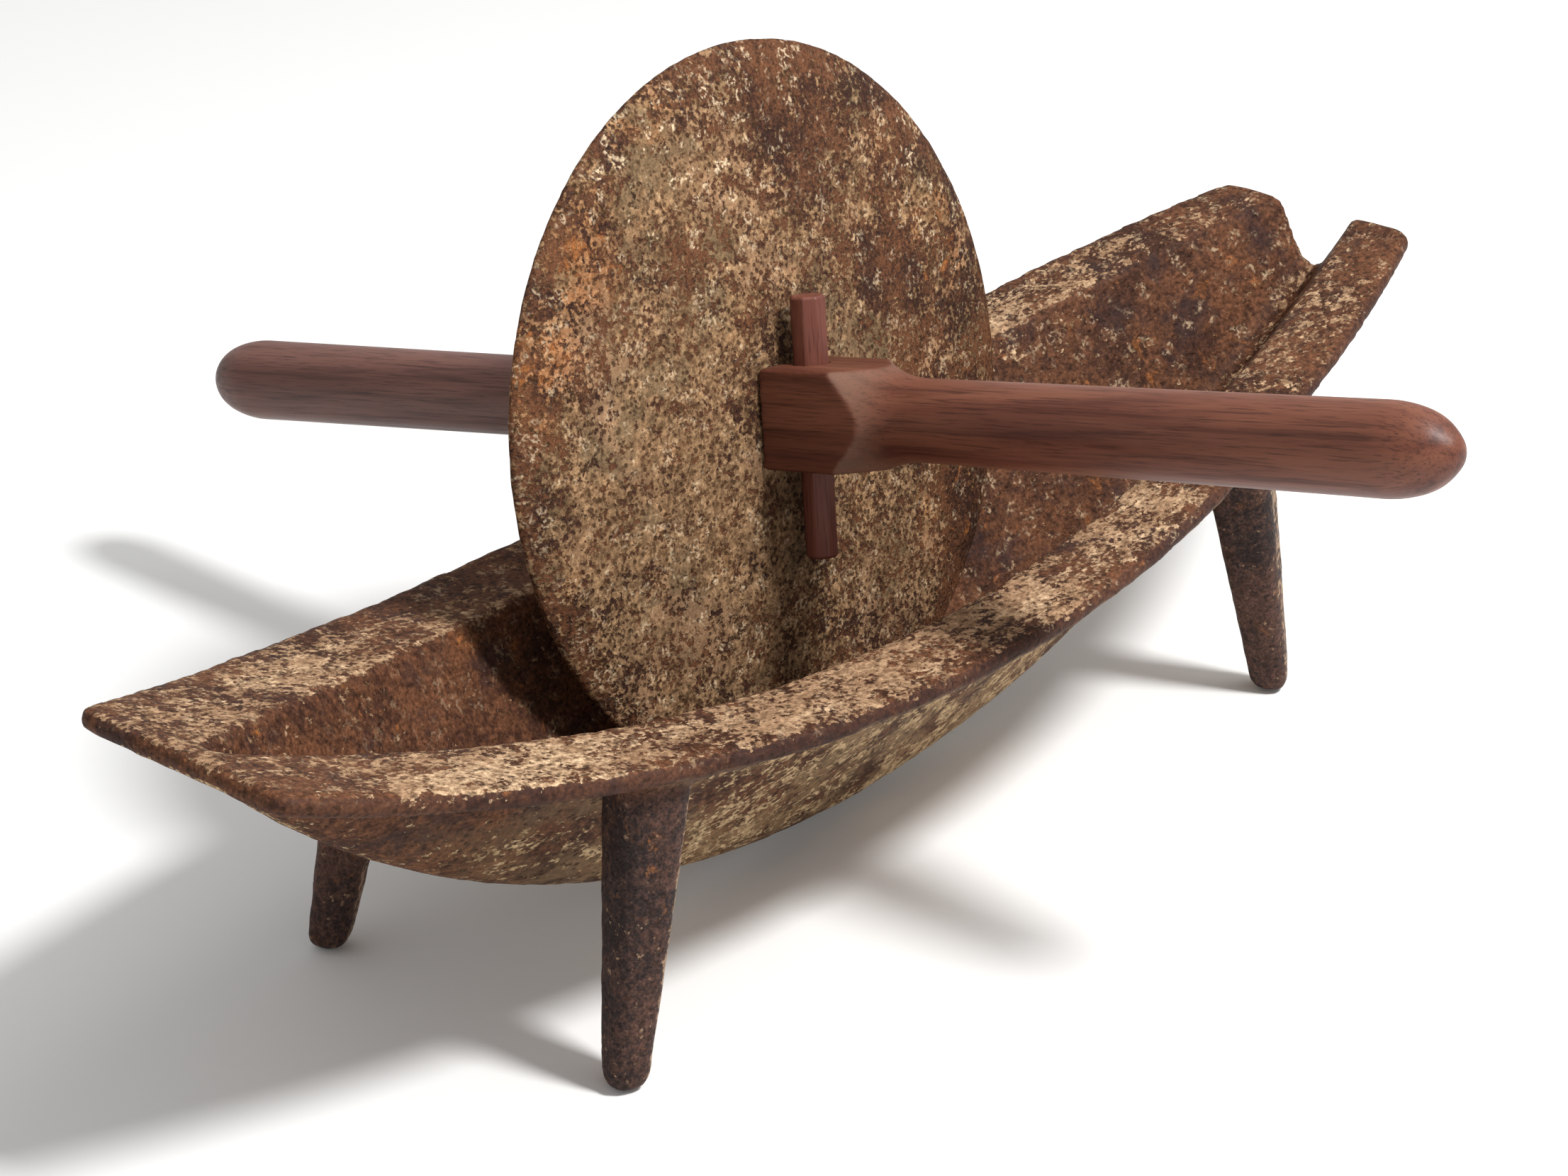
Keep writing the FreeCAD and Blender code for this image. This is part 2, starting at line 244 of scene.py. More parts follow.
def buildResidue():  # dried crust broken up into grains, with bare pits in it
    group, given, made = startGroup(
        "Dried residue",
        [("Vector", "NodeSocketVector", None), ("Coverage", "NodeSocketFloat", 0.5),
         ("Grain", "NodeSocketFloat", 380), ("Edge", "NodeSocketFloat", 0.04)],
        [("Mask", "NodeSocketFloat"), ("Pits", "NodeSocketFloat"), ("Height", "NodeSocketFloat"),
         ("Tone", "NodeSocketFloat"), ("Curls", "NodeSocketFloat")])

    def grainNoise(size, detail, roughness=0.55):  # noise at a multiple of the grain's own scale
        return noise(group, given["Vector"], times(group, given["Grain"], size), detail, roughness)

    fine = noise(group, given["Vector"], given["Grain"], 4, 0.62)
    middle = grainNoise(0.36, 4, 0.6)
    mixed = plus(group, times(group, fine, 0.66), times(group, middle, 0.34))
    level = spread(group, given["Coverage"], 0, 1, 0.68, 0.34)
    mask = smoothStep(group, mixed, minus(group, level, given["Edge"]), plus(group, level, given["Edge"]))
    cells = addNode(group, "ShaderNodeTexVoronoi", {"Vector": given["Vector"], "Randomness": 1,
                                                    "Scale": times(group, given["Grain"], 0.75)})
    holes = smoothStep(group, cells.outputs["Distance"], 0.42, 0.2)
    stirring = addNode(group, "ShaderNodeTexNoise", {"Vector": given["Vector"], "Scale": 260})
    stir = stretched(group, stirring.outputs["Color"], (0.004, 0.004, 0.004))
    ring = addNode(group, "ShaderNodeTexVoronoi", {"Vector": vectorMath(group, "ADD", given["Vector"], stir),
                                                   "Scale": times(group, given["Grain"], 0.5)})
    offRing = mathNode(group, "ABSOLUTE", minus(group, ring.outputs["Distance"], 0.4))
    broken = smoothStep(group, grainNoise(0.3, 3), 0.5, 0.66)
    ragged = smoothStep(group, grainNoise(1.6, 2), 0.42, 0.56)
    curls = times(group, smoothStep(group, offRing, 0.2, 0.03), times(group, broken, ragged))
    sparse = smoothStep(group, grainNoise(0.5, 2), 0.44, 0.54)
    pits = times(group, holes, sparse)
    height = minus(group, plus(group, mask, fine), pits)
    feed(group, made["Mask"], mask)
    feed(group, made["Pits"], pits)
    feed(group, made["Curls"], curls)
    feed(group, made["Height"], height)
    feed(group, made["Tone"], smoothStep(group, grainNoise(0.8, 5, 0.7), 0.34, 0.7))
    return group


def buildRust():  # bare cast iron gone brown: dark scale, mid rust and brighter orange blooms
    group, given, made = startGroup(
        "Rusted iron",
        [("Vector", "NodeSocketVector", None), ("Dark", "NodeSocketColor", (0.03, 0.02, 0.018, 1)),
         ("Mid", "NodeSocketColor", (0.09, 0.05, 0.034, 1)),
         ("Orange", "NodeSocketColor", (0.24, 0.1, 0.04, 1)),
         ("Bloom", "NodeSocketFloat", 0.3), ("Size", "NodeSocketFloat", 90)],
        [("Color", "NodeSocketColor"), ("Height", "NodeSocketFloat")])
    broad = noise(group, given["Vector"], times(group, given["Size"], 0.35), 4, 0.6)
    fine = noise(group, given["Vector"], times(group, given["Size"], 4.2), 5, 0.65)
    both = plus(group, times(group, broad, 0.5), times(group, fine, 0.5))
    base = blendColour(group, smoothStep(group, both, 0.41, 0.59), given["Dark"], given["Mid"])
    bloomNoise = noise(group, given["Vector"], given["Size"], 6, 0.7, 0.6)
    level = spread(group, given["Bloom"], 0, 1, 0.74, 0.34)
    bloom = smoothStep(group, bloomNoise, level, plus(group, level, 0.12))
    bloomed = blendColour(group, bloom, base, given["Orange"])
    gritScale = times(group, given["Size"], 9)
    feed(group, made["Color"], speckled(group, given["Vector"], gritScale, bloomed, 0.5, 1.5))
    feed(group, made["Height"], plus(group, fine, times(group, broad, 0.6)))
    return group


def buildGrain():  # walnut: long dark streaks, broad bands and open pores, with the grain along Z
    group, given, made = startGroup(
        "Walnut grain",
        [("Vector", "NodeSocketVector", None), ("Dark", "NodeSocketColor", (0.03, 0.012, 0.01, 1)),
         ("Mid", "NodeSocketColor", (0.11, 0.042, 0.03, 1)),
         ("Light", "NodeSocketColor", (0.2, 0.09, 0.06, 1)),
         ("Streaks", "NodeSocketFloat", 0.5)],
        [("Color", "NodeSocketColor"), ("Height", "NodeSocketFloat"), ("Roughness", "NodeSocketFloat")])
    bands = noise(group, stretched(group, given["Vector"], (75, 75, 5)), 1, 3, 0.5, 0.8)
    lines = noise(group, stretched(group, given["Vector"], (420, 420, 11)), 1, 4, 0.6, 0.3)
    pores = noise(group, stretched(group, given["Vector"], (1500, 1500, 60)), 1, 3, 0.6)
    body = blendColour(group, smoothStep(group, bands, 0.28, 0.72), given["Mid"], given["Light"])
    streakLevel = spread(group, given["Streaks"], 0, 1, 0.3, 0.56)
    mixed = plus(group, times(group, lines, 0.65), times(group, bands, 0.35))
    streak = smoothStep(group, mixed, plus(group, streakLevel, 0.07), minus(group, streakLevel, 0.07))
    streaked = blendColour(group, times(group, streak, 0.5), body, given["Dark"])
    openPores = times(group, smoothStep(group, pores, 0.5, 0.32), 0.62)
    feed(group, made["Color"], blendColour(group, openPores, streaked, given["Dark"]))
    feed(group, made["Height"], plus(group, pores, times(group, lines, 0.5)))
    feed(group, made["Roughness"], spread(group, lines, 0.3, 0.7, 0.5, 0.38))
    return group


softPatch = buildSoftPatch()
residue = buildResidue()
rust = buildRust()
walnutGrain = buildGrain()
print("shared effects ready")


def startMaterial(name, specular):
    material = bpy.data.materials.new(name)
    material.use_nodes = True
    tree = material.node_tree
    shader = tree.nodes["Principled BSDF"]
    shader.inputs["Specular IOR Level"].default_value = specular
    coords = tree.nodes.new("ShaderNodeTexCoord").outputs
    return material, tree, shader.inputs, coords


def addBump(tree, height, distance, strength, normal=None):
    made = addNode(tree, "ShaderNodeBump", {"Height": height, "Distance": distance, "Strength": strength,
                                            "Normal": normal})
    return made.outputs["Normal"]


def patchSum(tree, vector, start, patches):  # each patch is (centre, reach, strength) in millimetres
    total = start
    for centre, reach, strength in patches:
        mask = useGroup(tree, softPatch, {"Vector": vector,
                                          "Centre": [value * millimetre for value in centre],
                                          "Reach": [value * millimetre for value in reach]})["Mask"]
        total = plus(tree, total, times(tree, mask, strength))
    return total


# piece helpers

def newPiece(name, mesh):
    obj = bpy.data.objects.new(name, mesh)
    scene.collection.objects.link(obj)
    return obj


def mergedCopy(*names):  # one mesh with the shapes of several frame nodes
    joined = bmesh.new()
    for name in names:
        joined.from_mesh(frame["nodes"][name].data)
    bmesh.ops.remove_doubles(joined, verts=joined.verts, dist=0.00001)
    bmesh.ops.recalc_face_normals(joined, faces=joined.faces)
    mesh = bpy.data.meshes.new(names[0] + "_copy")
    joined.to_mesh(mesh)
    joined.free()
    return mesh


def addRemesh(obj, voxel, rounds):
    remesh = obj.modifiers.new("remesh", "REMESH")
    remesh.mode = "VOXEL"
    remesh.voxel_size = voxel
    remesh.use_smooth_shade = True
    smooth = obj.modifiers.new("soften", "SMOOTH")
    smooth.factor = 0.5
    smooth.iterations = rounds


def addDisplace(obj, name, size, depth):
    texture = bpy.data.textures.new(name, "CLOUDS")
    texture.noise_scale = size
    texture.noise_depth = 2
    modifier = obj.modifiers.new(name, "DISPLACE")
    modifier.texture = texture
    modifier.texture_coords = "LOCAL"
    modifier.strength = depth
    modifier.mid_level = 0.5


def finishStack(obj):  # bakes a piece's live modifiers into its own mesh
    depsgraph = bpy.context.evaluated_depsgraph_get()
    baked = bpy.data.meshes.new_from_object(obj.evaluated_get(depsgraph))
    obj.modifiers.clear()
    old = obj.data
    obj.data = baked
    bpy.data.meshes.remove(old)


# grinding wheel

wheel = {
    "profile": [(10.08, 10.2), (10.6, 11.1), (12, 11.42), (16, 11.46), (24, 11.46), (29.4, 11.4), (34, 11.15),
                (44, 10.5), (54, 9.85), (64, 9.2), (74, 8.5), (84, 7.85), (94, 7.2), (104, 6.5), (112, 6.0),
                (118, 5.6), (121, 5.15), (125, 3.8), (129, 2.45), (130.9, 1.55), (131.85, 0.5)],
    "turns": 96,
    "level": 2,
    "unevenSize": 0.022,
    "uneven": 0.00045,
    "pitSize": 0.0042,
    "pitDepth": 0.0005,
    "specular": 0.06,
    # a band round the rim where the crust thins and the iron shows darker: painted shade of the bevel
    "bevelShadeBand": (0.117, 0.127),  # distances from the axle, in metres
    "bevelShadeLoss": 0.22,
    "cloudScale": 34,
    "cloudGain": (-0.16, 0.14),
    "smallCloudScale": 120,
    "smallCloudGain": (-0.22, 0.18),
    "grain": 480,
    "grainEdge": 0.034,
    "rustScale": 130,
    "rustBloom": 0.18,
    "greyScale": 30,
    "greyShare": 0.6,
    "pinkScale": 22,
    "pinkShare": 0.6,
    "pinkShift": (0.7, 0.2, 0.4),
    "blotchScale": 75,
    "warmShare": 0.52,
    "mottleScale": 70,
    "gritScale": 900,
    "crustShare": 0.92,
    "pitShare": 0.82,
    "curlShare": 0.5,
    "rustBump": (0.0004, 0.5),  # depth in metres, and strength
    "crustBump": (0.0005, 0.7),
    "bareRoughness": 0.62,
    "crustRoughness": 0.88,
    "dark": (0.038, 0.018, 0.013, 1),
    "mid": (0.135, 0.056, 0.027, 1),
    "orange": (0.3, 0.11, 0.034, 1),
    "buff": (0.125, 0.068, 0.034, 1),
    "cream": (0.44, 0.268, 0.14, 1),
    "warmCrust": (0.44, 0.175, 0.065, 1),
    "greyCrust": (0.15, 0.108, 0.06, 1),
    "pinkCrust": (0.36, 0.205, 0.115, 1),
    "curl": (0.76, 0.58, 0.38, 1),
    "pit": (0.05, 0.024, 0.012, 1),
    "coverage": 0.62,
    "coverPatches": [((32, 0, 97), (30, 60, 40), -0.36), ((87, 0, 76), (30, 60, 34), -0.24),
                     ((63, 0, 37), (26, 60, 20), -0.3), ((-2, 0, 116), (30, 60, 14), -0.16),
                     ((-55, 0, 100), (40, 60, 22), 0.12), ((-45, 0, 68), (16, 60, 12), -0.16),
                     ((-55, 0, -25), (75, 60, 75), 0.14), ((112, 0, -90), (40, 60, 55), -0.5),
                     ((92, 0, -5), (36, 60, 60), -0.24), ((96, 0, 52), (18, 60, 18), 0.2),
                     ((40, 0, 28), (12, 60, 16), 0.2)],
    "curlPatches": [((-35, 0, 95), (50, 60, 40), 0.5), ((95, 0, 60), (24, 60, 34), 0.4),
                    ((30, 0, 118), (50, 60, 16), 0.2), ((-60, 0, -70), (60, 60, 40), 0.2)],
    "orangePatches": [((-78, 0, 80), (26, 60, 26), 0.42), ((-112, 0, 48), (22, 60, 26), 0.4),
                      ((84, 0, -56), (24, 60, 44), 0.3), ((100, 0, 30), (24, 60, 40), 0.24),
                      ((-40, 0, 118), (34, 60, 12), 0.25)],
}


def makeWheel():
    half = [Vector((radius * millimetre, 0, station * millimetre)) for radius, station in wheel["profile"]]
    points = half + [Vector((point.x, 0, -point.z)) for point in reversed(half)]
    mesh = bpy.data.meshes.new("grinding_wheel_face")
    count = len(points)
    mesh.from_pydata(points, [(i, (i + 1) % count) for i in range(count)], [])
    obj = newPiece("wheel_disc", mesh)
    screw = obj.modifiers.new("turn", "SCREW")
    screw.steps = screw.render_steps = wheel["turns"]
    screw.use_merge_vertices = True
    screw.merge_threshold = 0.00002
    screw.use_smooth_shade = True
    smooth = obj.modifiers.new("round", "SUBSURF")
    smooth.levels = smooth.render_levels = wheel["level"]
    addDisplace(obj, "wheel_uneven", wheel["unevenSize"], wheel["uneven"])
    addDisplace(obj, "wheel_pits", wheel["pitSize"], wheel["pitDepth"])
    finishStack(obj)
    zAxis = -towardsFar
    xAxis = Vector((0, 0, 1)).cross(zAxis).normalized()
    yAxis = zAxis.cross(xAxis)
    place = Matrix((xAxis, yAxis, zAxis)).transposed().to_4x4()
    place.translation = wheelCentre
    obj.data.transform(place)
    obj.data.materials.append(makeWheelIron())
    obj.data.shade_smooth()
    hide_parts("grinding_wheel")
    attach(obj, "wheel")


def wheelCover(tree, flat):  # how much of the wheel the crust hides, from 0 to 1
    across = vectorMath(tree, "LENGTH", vectorMath(tree, "MULTIPLY", flat, (1, 0, 1)))
    # band round the rim, darkened by less crust: painted shade of the bevel
    bevelShade = smoothStep(tree, across, *wheel["bevelShadeBand"])
    cloud = noise(tree, flat, wheel["cloudScale"], 4, 0.6)
    smallCloud = noise(tree, flat, wheel["smallCloudScale"], 4, 0.6)
    cover = patchSum(tree, flat, wheel["coverage"], wheel["coverPatches"])
    cover = plus(tree, cover, spread(tree, cloud, 0.3, 0.7, *wheel["cloudGain"]))
    cover = plus(tree, cover, spread(tree, smallCloud, 0.3, 0.7, *wheel["smallCloudGain"]))
    return minus(tree, cover, times(tree, bevelShade, wheel["bevelShadeLoss"]), clamp=True)


def wheelCrustColour(tree, flat, tone, bloom):  # tan, grey, pink and warm areas, then grit
    colour = blendColour(tree, tone, wheel["buff"], wheel["cream"])
    grey = smoothStep(tree, noise(tree, flat, wheel["greyScale"], 5, 0.65, 0.5), 0.5, 0.62)
    colour = blendColour(tree, times(tree, grey, wheel["greyShare"]), colour, wheel["greyCrust"])
    elsewhere = vectorMath(tree, "ADD", flat, wheel["pinkShift"])
    pink = smoothStep(tree, noise(tree, elsewhere, wheel["pinkScale"], 5, 0.6, 0.4), 0.5, 0.64)
    colour = blendColour(tree, times(tree, pink, wheel["pinkShare"]), colour, wheel["pinkCrust"])
    blotch = spread(tree, noise(tree, flat, wheel["blotchScale"], 4, 0.65), 0.3, 0.7, -0.3, 0.3)
    warm = smoothStep(tree, plus(tree, bloom, blotch), 0.28, 0.8)
    colour = blendColour(tree, times(tree, warm, wheel["warmShare"]), colour, wheel["warmCrust"])
    colour = speckled(tree, flat, wheel["mottleScale"], colour, 0.66, 1.28)
    return speckled(tree, flat, wheel["gritScale"], colour, 0.62, 1.3)


def makeWheelIron():
    material, tree, shader, coords = startMaterial("wheel iron", wheel["specular"])
    tilt = towardsFar.rotation_difference(Vector((0, 1, 0))).to_euler()
    centred = vectorMath(tree, "SUBTRACT", coords["Object"], tuple(wheelCentre))
    flat = stretched(tree, centred, rotation=tuple(tilt))
    bloom = patchSum(tree, flat, wheel["rustBloom"], wheel["orangePatches"])
    bare = useGroup(tree, rust, {"Vector": flat, "Dark": wheel["dark"], "Mid": wheel["mid"],
                                 "Orange": wheel["orange"], "Bloom": bloom, "Size": wheel["rustScale"]})
    crust = useGroup(tree, residue, {"Vector": flat, "Coverage": wheelCover(tree, flat),
                                     "Grain": wheel["grain"], "Edge": wheel["grainEdge"]})
    crustColour = wheelCrustColour(tree, flat, crust["Tone"], bloom)
    colour = blendColour(tree, times(tree, crust["Mask"], wheel["crustShare"]), bare["Color"], crustColour)
    colour = blendColour(tree, times(tree, crust["Pits"], wheel["pitShare"]), colour, wheel["pit"])
    curlShare = patchSum(tree, flat, wheel["curlShare"], wheel["curlPatches"])
    curls = times(tree, crust["Curls"], curlShare, clamp=True)
    colour = blendColour(tree, curls, colour, wheel["curl"])
    feed(tree, shader["Base Color"], colour)
    feed(tree, shader["Roughness"], spread(tree, crust["Mask"], 0, 1, wheel["bareRoughness"],
                                           wheel["crustRoughness"]))
    fineNormal = addBump(tree, bare["Height"], *wheel["rustBump"])
    feed(tree, shader["Normal"], addBump(tree, crust["Height"], *wheel["crustBump"], fineNormal))
    return material


makeWheel()
print("wheel ready")


# trough and legs, one casting

casting = {
    "nodes": ("trough", "leg_closed_end_near", "leg_closed_end_far", "leg_open_end_near", "leg_open_end_far"),
    "voxel": 0.0022,
    "smooth": 5,
    "unevenSize": 0.03,
    "uneven": 0.0008,
    "roughSize": 0.006,
    "rough": 0.0006,
    "specular": 0.07,
    "topFacing": (0.72, 0.9),  # how far a face looks up, for the rim, the groove's walls and the hull
    "wallFacing": (0.15, 0.4),
    "hullFacing": (-0.2, -0.42),
    "bow": 0.5246,  # how fast the rim narrows, in metres across for each square metre along
    "lip": (0.084, 0.0895),  # distances from the middle with the bow added, in metres
    "lipLoss": 0.1,
    # the hull just under the rim's overhang loses crust and reads darker: painted shade under the rim
    "underRimShade": (0.074, 0.084),
    "underRimShadeLoss": 0.6,
    "sideBand": (0.0885, 0.093),
    "sideBandShare": 0.4,
    "topCover": 0.5,
    "wallCover": 0.13,
    "hullCover": 0.5,
    "cloudScale": 30,
    "cloudGain": (-0.2, 0.2),
    "smallCloudScale": 110,
    "smallCloudGain": (-0.3, 0.22),
    "alongTrough": (0.75, 1, 1),
    "grain": 520,
    "grainEdge": 0.03,
    "smearStretch": (0.5, 1.3, 1.3),
    "smearScale": 75,
    "rustScale": 70,
    "rustBloom": (0.12, 0.38),
    "darkScaleSize": 38,
    "darkScaleShare": 0.7,
    "oliveFrom": (-0.26, -0.1),
    "oliveScale": 42,
    "oliveShare": 0.6,
    "crustShare": 0.88,
    "gritScale": 520,
    "crustGritScale": 1000,
    "curlGrain": 430,
    "curlCoverage": 0.3,
    "curlAlong": (-0.22, 0.02, 0.12, 0.6),  # from this place along to that, this share to that
    "curlTop": 0.5,
    "pitShare": (0.75, 0.2),
    "rustBump": (0.0006, 0.55),
    "crustBump": (0.0005, 0.6),
    "bareRoughness": 0.55,
    "crustRoughness": 0.85,
    "legHeight": 0.12,
    "legFoot": (0.189, 0.069),  # the middle of a leg at the floor and at legHeight
    "legTop": (0.164, 0.0595),
    "legEdge": (0.024, 0.019),
    "legEnd": (0.112, 0.098),
    "legRustScale": 110,
    "legRustBloom": 0.36,
    "legGrain": 430,
    "legGrainEdge": 0.04,
    # faces turned towards +X, the open end and the lamps, get more pale crust: real crust and painted light
    # on the lit side
    "legLitFacing": (0, 0.5),
    "legCoverShadedToLit": (0.15, 0.56),
    "legCrustShare": 0.8,
    "legPitShare": 0.5,
    "coverPatches": [((-40, -80, 105), (150, 26, 60), 0.2), ((-235, 48, 128), (60, 20, 24), 0.04),
                     ((150, 60, 125), (80, 30, 30), 0.14), ((290, 0, 148), (60, 90, 30), -0.14),
                     ((140, -70, 120), (90, 26, 30), 0.06),
                     ((-225, -58, 124), (80, 20, 25), 0.34), ((-110, 75, 108), (50, 26, 24), -0.2),
                     ((-300, 0, 140), (50, 70, 30), 0.06), ((-240, -40, 95), (70, 40, 30), -0.4),
                     ((-190, 0, 70), (110, 50, 45), -0.16), ((110, 60, 100), (60, 36, 30), 0.14)],
    "palePatches": [((-230, -58, 124), (75, 18, 25), 0.16), ((-240, 46, 128), (55, 20, 24), 0.08),
                    ((150, 60, 125), (80, 30, 30), 0.09), ((110, -80, 112), (70, 30, 30), 0.06)],
    "dark": (0.05, 0.021, 0.013, 1),
    "mid": (0.13, 0.053, 0.026, 1),
    "orange": (0.28, 0.10, 0.03, 1),
    "cream": (0.86, 0.6, 0.37, 1),
    "tan": (0.52, 0.325, 0.19, 1),
    "buff": (0.2, 0.112, 0.06, 1),
    "pit": (0.035, 0.017, 0.01, 1),
    "curl": (0.6, 0.43, 0.27, 1),
    # olive-tan crust on the hull, made brighter as painted light from below
    "hullCrustAndPaintedFill": (0.7, 0.51, 0.3, 1),
    "olive": (0.31, 0.2, 0.105, 1),
    "purple": (0.038, 0.021, 0.02, 1),
    "legDark": (0.028, 0.02, 0.019, 1),
    "legMid": (0.095, 0.05, 0.038, 1),
    "legOrange": (0.22, 0.09, 0.036, 1),
    "legCrust": (0.36, 0.235, 0.145, 1),
}


def makeCasting():
    obj = newPiece("trough_and_legs", mergedCopy(*casting["nodes"]))
    addRemesh(obj, casting["voxel"], casting["smooth"])
    addDisplace(obj, "casting_uneven", casting["unevenSize"], casting["uneven"])
    addDisplace(obj, "casting_rough", casting["roughSize"], casting["rough"])
    obj.data.materials.append(makeTroughIron())
    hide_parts(*casting["nodes"])
    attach(obj, "trough_casting")


def legMask(tree, sideX, sideY, height):  # 1 on the four legs and 0 on the trough
    footX, footY = casting["legFoot"]
    topX, topY = casting["legTop"]
    awayX = minus(tree, sideX, spread(tree, height, 0, casting["legHeight"], footX, topX))
    awayY = minus(tree, sideY, spread(tree, height, 0, casting["legHeight"], footY, topY))
    away = mathNode(tree, "SQRT", plus(tree, times(tree, awayX, awayX), times(tree, awayY, awayY)))
    return times(tree, smoothStep(tree, away, *casting["legEdge"]),
                 smoothStep(tree, height, *casting["legEnd"]))


def legIron(tree, place, facing):  # darker, with most of its crust on the sides that face the open end and the lamps: real crust, made heavier there as painted light
    bare = useGroup(tree, rust, {"Vector": place, "Dark": casting["legDark"], "Mid": casting["legMid"],
                                 "Orange": casting["legOrange"], "Bloom": casting["legRustBloom"],
                                 "Size": casting["legRustScale"]})
    # how far a face turns towards +X and the lamps; the extra pale crust there is partly painted light
    corner = smoothStep(tree, facing["X"], *casting["legLitFacing"])
    crust = useGroup(tree, residue, {"Vector": place, "Grain": casting["legGrain"],
                                     "Edge": casting["legGrainEdge"],
                                     "Coverage": spread(tree, corner, 0, 1, *casting["legCoverShadedToLit"])})
    colour = blendColour(tree, times(tree, crust["Mask"], casting["legCrustShare"]), bare["Color"],
                         casting["legCrust"])
    return blendColour(tree, times(tree, crust["Pits"], casting["legPitShare"]), colour, casting["pit"])


def makeTroughIron():
    material, tree, shader, coords = startMaterial("cast trough iron", casting["specular"])
    place = coords["Object"]
    parts = addNode(tree, "ShaderNodeSeparateXYZ", {0: place}).outputs
    facing = addNode(tree, "ShaderNodeSeparateXYZ", {0: coords["Normal"]}).outputs
    along = stretched(tree, place, casting["alongTrough"])
    top = smoothStep(tree, facing["Z"], *casting["topFacing"])
    wall = minus(tree, smoothStep(tree, facing["Z"], *casting["wallFacing"]), top)
    hull = smoothStep(tree, facing["Z"], *casting["hullFacing"])
    sideX = mathNode(tree, "ABSOLUTE", parts["X"])
    sideY = mathNode(tree, "ABSOLUTE", parts["Y"])
    fromMiddle = plus(tree, sideY, times(tree, times(tree, parts["X"], parts["X"]), casting["bow"]))

    # bare iron: rust, dark scale, an olive film on the hull, and a dark band round the rim's side
    bare = useGroup(tree, rust, {"Vector": place, "Dark": casting["dark"], "Mid": casting["mid"],
                                 "Orange": casting["orange"], "Size": casting["rustScale"],
                                 "Bloom": spread(tree, wall, 0, 1, *casting["rustBloom"])})
    darkScale = smoothStep(tree, noise(tree, place, casting["darkScaleSize"], 5, 0.7), 0.52, 0.66)
    colour = blendColour(tree, times(tree, darkScale, casting["darkScaleShare"]), bare["Color"],
                         casting["purple"])
    film = smoothStep(tree, noise(tree, along, casting["oliveScale"], 5, 0.65), 0.4, 0.6)
    film = times(tree, times(tree, hull, smoothStep(tree, parts["X"], *casting["oliveFrom"])), film)
    colour = blendColour(tree, times(tree, film, casting["oliveShare"]), colour, casting["olive"])
    colour = speckled(tree, place, casting["gritScale"], colour, 0.7, 1.3)
    sideBand = times(tree, smoothStep(tree, fromMiddle, *casting["sideBand"]), minus(tree, 1, top))
    colour = blendColour(tree, times(tree, sideBand, casting["sideBandShare"]), colour, casting["purple"])

    # how much of it the crust hides
    cover = plus(tree, times(tree, top, casting["topCover"]), times(tree, wall, casting["wallCover"]))
    cover = plus(tree, cover, times(tree, hull, casting["hullCover"]))
    cover = patchSum(tree, place, cover, casting["coverPatches"])
    lip = times(tree, smoothStep(tree, fromMiddle, *casting["lip"]), minus(tree, 1, hull))
    cover = minus(tree, cover, times(tree, lip, casting["lipLoss"]))
    # painted shade: less crust, so darker iron, on the hull just under the rim's overhang
    underRimShade = times(tree, smoothStep(tree, fromMiddle, *casting["underRimShade"]), hull)
    cover = minus(tree, cover, times(tree, underRimShade, casting["underRimShadeLoss"]))
    smallCloud = noise(tree, place, casting["smallCloudScale"], 4, 0.6)
    cover = plus(tree, cover, spread(tree, smallCloud, 0.3, 0.7, *casting["smallCloudGain"]))
    cloud = noise(tree, along, casting["cloudScale"], 5, 0.6)
    cover = plus(tree, cover, spread(tree, cloud, 0.35, 0.65, *casting["cloudGain"]), clamp=True)
    crust = useGroup(tree, residue, {"Vector": along, "Coverage": cover, "Grain": casting["grain"],
                                     "Edge": casting["grainEdge"]})

    # the crust's colour, with pale smears on the rim
    smears = noise(tree, stretched(tree, place, casting["smearStretch"]), casting["smearScale"], 4, 0.7)
    smears = smoothStep(tree, patchSum(tree, place, smears, casting["palePatches"]), 0.5, 0.68)
    pale = blendColour(tree, smears, casting["tan"], casting["cream"])
    rimCrust = blendColour(tree, crust["Tone"], casting["buff"], pale)
    # the hull's crust: real olive-tan crust, made brighter as painted light from below
    hullCrustAndPaintedFill = blendColour(tree, crust["Tone"], casting["olive"], casting["hullCrustAndPaintedFill"])
    crustColour = blendColour(tree, hull, rimCrust, hullCrustAndPaintedFill)
    crustColour = speckled(tree, place, casting["crustGritScale"], crustColour, 0.66, 1.3)
    colour = blendColour(tree, times(tree, crust["Mask"], casting["crustShare"]), colour, crustColour)

    # pale curled flakes on the groove's walls and the rim, and bare pits
    flakes = useGroup(tree, residue, {"Vector": place, "Coverage": casting["curlCoverage"],
                                      "Grain": casting["curlGrain"]})["Curls"]
    wallCurls = times(tree, wall, spread(tree, parts["X"], *casting["curlAlong"]))
    curls = times(tree, flakes, plus(tree, wallCurls, times(tree, top, casting["curlTop"])))
    colour = blendColour(tree, curls, colour, casting["curl"])
    pits = times(tree, crust["Pits"], spread(tree, wall, 0, 1, *casting["pitShare"]))
    colour = blendColour(tree, pits, colour, casting["pit"])

    legs = legMask(tree, sideX, sideY, parts["Z"])
    colour = blendColour(tree, legs, colour, legIron(tree, place, facing))
    feed(tree, shader["Base Color"], colour)
    feed(tree, shader["Roughness"], spread(tree, crust["Mask"], 0, 1, casting["bareRoughness"],
                                           casting["crustRoughness"]))
    fineNormal = addBump(tree, bare["Height"], *casting["rustBump"])
    feed(tree, shader["Normal"], addBump(tree, crust["Height"], *casting["crustBump"], fineNormal))
    return material


makeCasting()
print("casting ready")


# handle halves and locking peg

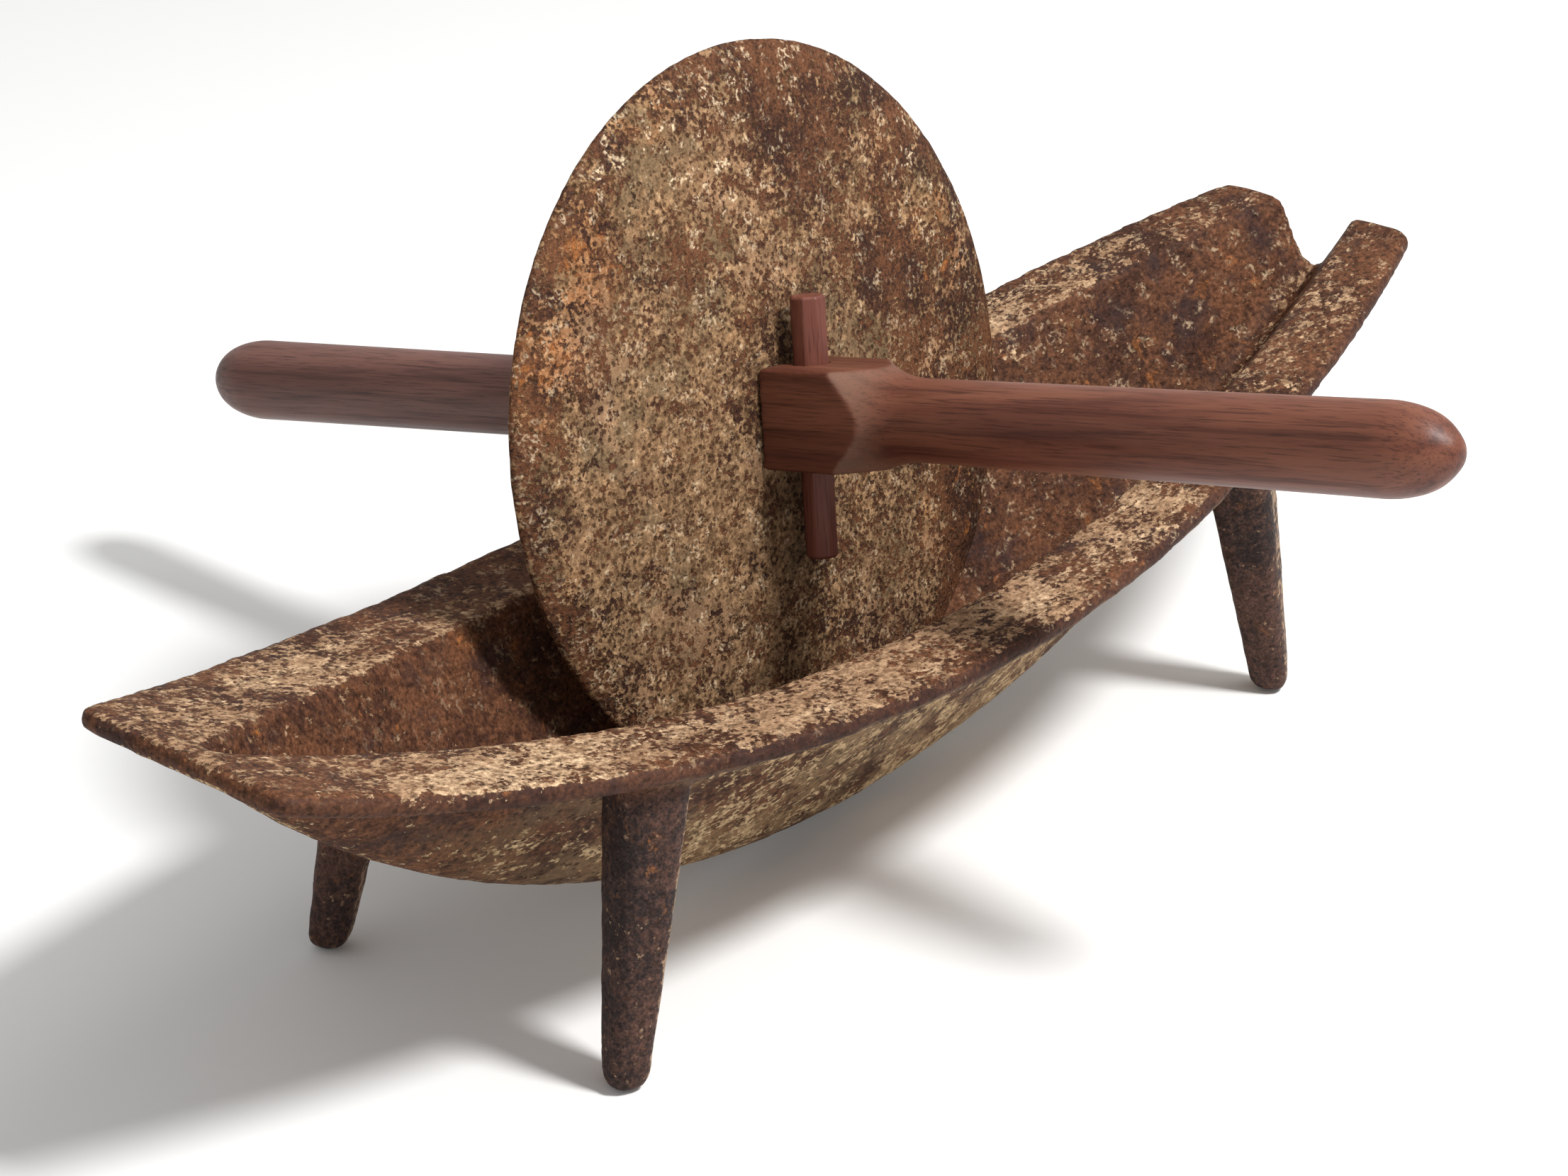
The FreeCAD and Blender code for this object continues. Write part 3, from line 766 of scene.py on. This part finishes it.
nearGrip = {
    "voxel": 0.00095,
    "smooth": 3,
    "specular": 0.3,
    "dark": (0.035, 0.011, 0.008, 1),
    "mid": (0.115, 0.034, 0.02, 1),
    "light": (0.205, 0.074, 0.042, 1),
    "streaks": 0.5,
    "shift": (0, 0, 0),
    "sanded": (0.22, 0.125, 0.084, 1),
    "sandedFacing": (0.12, 0.5),  # how far a face looks along the grip
    "sandedStations": (0.12, 0.09),  # distances from the wheel's middle, in metres
    "sandedShare": 0.55,
    "sandedRoughness": 0.25,
}
farGrip = {
    "voxel": 0.00095,
    "smooth": 3,
    "specular": 0.3,
    "dark": (0.035, 0.015, 0.012, 1),
    "mid": (0.115, 0.045, 0.033, 1),
    "light": (0.19, 0.085, 0.064, 1),
    "streaks": 0.5,
    "shift": (0.05, 0.02, 0.4),
}
peg = {
    "bevel": 0.0005,
    "bevelSegments": 3,
    "bevelAngle": math.radians(20),
    "specular": 0.3,
    "dark": (0.045, 0.014, 0.01, 1),
    "mid": (0.13, 0.037, 0.024, 1),
    "light": (0.21, 0.072, 0.047, 1),
    "streaks": 0.4,
    "shift": (0.3, 0.1, 0.2),
}
axleToZ = towardsFar.rotation_difference(Vector((0, 0, -1)))  # turns the near grip's direction to +Z
pegToZ = pegUp.rotation_difference(Vector((0, 0, 1)))


def makeWood(name, look, turn):
    material, tree, shader, coords = startMaterial(name, look["specular"])
    centred = vectorMath(tree, "SUBTRACT", coords["Object"], tuple(wheelCentre))
    upright = stretched(tree, centred, rotation=tuple(turn.to_euler()))
    grained = vectorMath(tree, "ADD", upright, look["shift"])
    wood = useGroup(tree, walnutGrain, {"Vector": grained, "Dark": look["dark"], "Mid": look["mid"],
                                        "Light": look["light"], "Streaks": look["streaks"]})
    colour = wood["Color"]
    roughness = wood["Roughness"]
    if "sanded" in look:
        facing = stretched(tree, coords["Normal"], rotation=tuple(turn.to_euler()))
        lengthwise = addNode(tree, "ShaderNodeSeparateXYZ", {0: facing}).outputs["Z"]
        station = addNode(tree, "ShaderNodeSeparateXYZ", {0: upright}).outputs["Z"]
        scoop = times(tree, smoothStep(tree, lengthwise, *look["sandedFacing"]),
                      smoothStep(tree, station, *look["sandedStations"]))
        colour = blendColour(tree, times(tree, scoop, look["sandedShare"]), colour, look["sanded"])
        roughness = plus(tree, roughness, times(tree, scoop, look["sandedRoughness"]))
    feed(tree, shader["Base Color"], colour)
    feed(tree, shader["Roughness"], roughness)
    feed(tree, shader["Normal"], addBump(tree, wood["Height"], 0.00015, 0.35))
    return material


def makeGrip(name, node, look, woodName):
    obj = newPiece(name, mergedCopy(node))
    addRemesh(obj, look["voxel"], look["smooth"])
    obj.data.materials.append(makeWood(woodName, look, axleToZ))
    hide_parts(node)
    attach(obj, "roller_handle")


def makePeg():
    mesh = mergedCopy("locking_peg")
    cage = bmesh.new()
    cage.from_mesh(mesh)
    bmesh.ops.dissolve_limit(cage, angle_limit=math.radians(1), verts=cage.verts, edges=cage.edges)
    cage.to_mesh(mesh)
    cage.free()
    mesh.shade_smooth()
    obj = newPiece("peg", mesh)
    bevel = obj.modifiers.new("worn edges", "BEVEL")
    bevel.width = peg["bevel"]
    bevel.segments = peg["bevelSegments"]
    bevel.limit_method = "ANGLE"
    bevel.angle_limit = peg["bevelAngle"]
    bevel.harden_normals = True
    mesh.materials.append(makeWood("peg wood", peg, pegToZ))
    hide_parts("locking_peg")
    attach(obj, "peg")


makeGrip("near_grip", "near_handle", nearGrip, "near walnut")
makeGrip("far_grip", "far_handle", farGrip, "far walnut")
makePeg()
print("handle ready")
